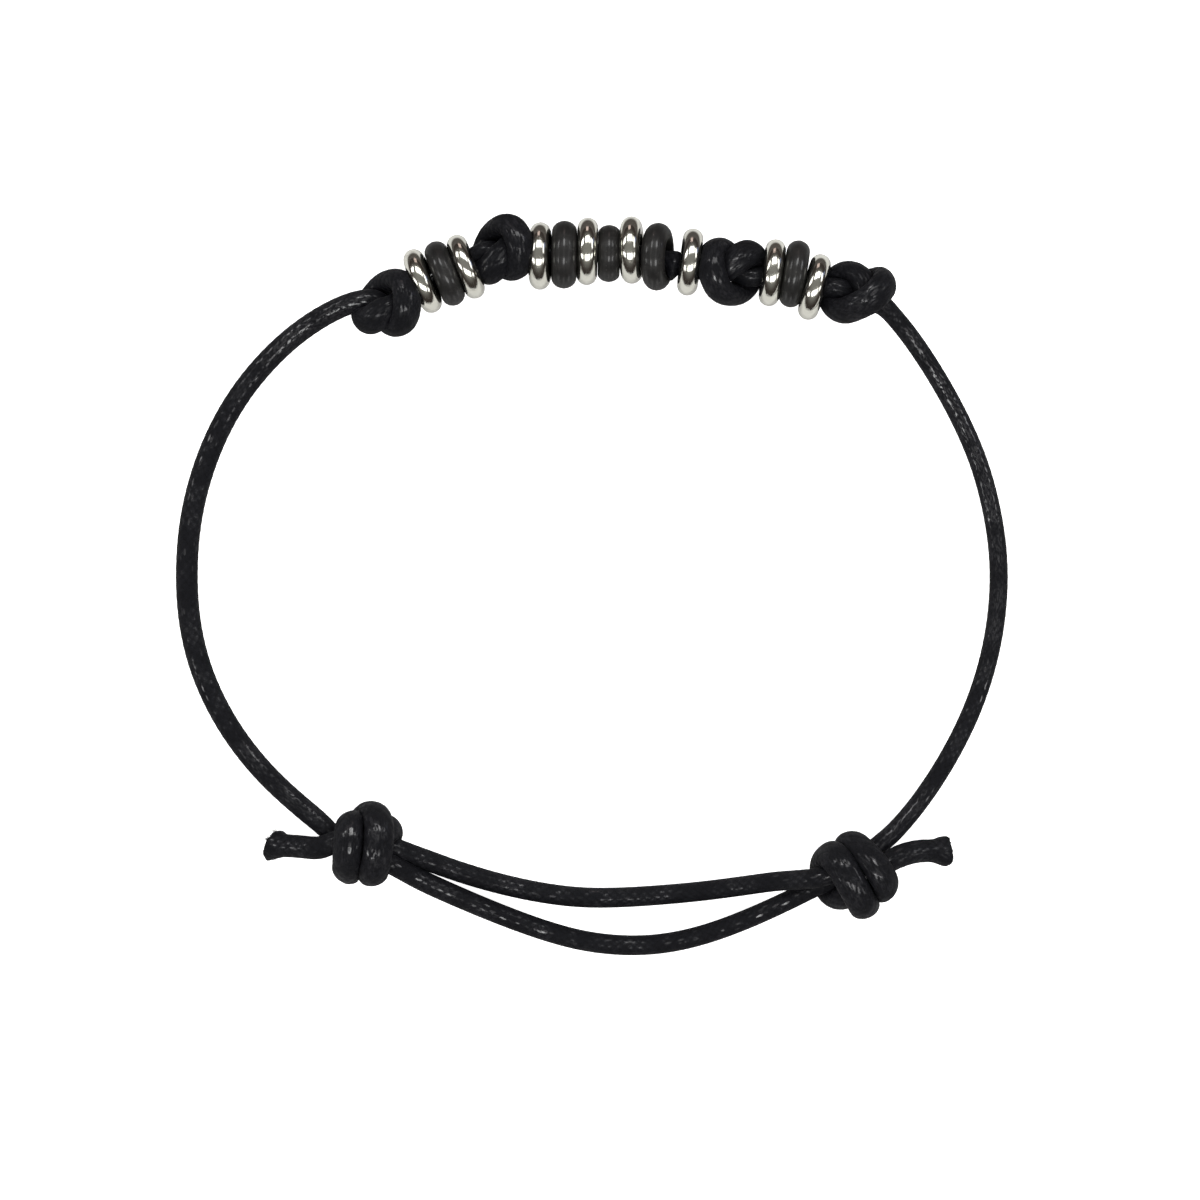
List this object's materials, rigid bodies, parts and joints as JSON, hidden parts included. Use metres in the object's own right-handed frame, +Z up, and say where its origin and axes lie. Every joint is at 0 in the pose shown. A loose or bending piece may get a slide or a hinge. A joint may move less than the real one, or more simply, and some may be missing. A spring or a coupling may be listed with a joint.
{
  "type": "cord bracelet",
  "caption": "Adjustable black braided cord bracelet lying closed, with two sliding knots, stopper knots and a row of polished metal and dark rubber rings.",
  "frame": {"origin": "middle of the bracelet's outline, on the surface that it lies on", "axes": "+X to the right along the bracelet's long side, +Y towards the row of rings, +Z up from the surface"},
  "size_m": [0.0626, 0.0554, 0.0062],
  "materials": {
    "cord": "braided and waxed, soft sheen",
    "silver": "polished bright",
    "rubber": "satin"
  },
  "bodies": {
    "root": {"sliding_knot_left": "cord", "sliding_knot_right": "cord", "cord_left": "cord", "cord_right": "cord", "knot_1": "cord", "knot_2": "cord", "knot_3": "cord", "knot_4": "cord", "thread_left": "cord", "thread_middle": "cord", "thread_right": "cord", "silver_ring_1": "silver", "silver_ring_2": "silver", "silver_ring_3": "silver", "silver_ring_4": "silver", "silver_ring_5": "silver", "silver_ring_6": "silver", "silver_ring_7": "silver", "silver_ring_8": "silver", "rubber_ring_1": "rubber", "rubber_ring_2": "rubber", "rubber_ring_3": "rubber", "rubber_ring_4": "rubber", "rubber_ring_5": "rubber"}
  },
  "joints": []
}
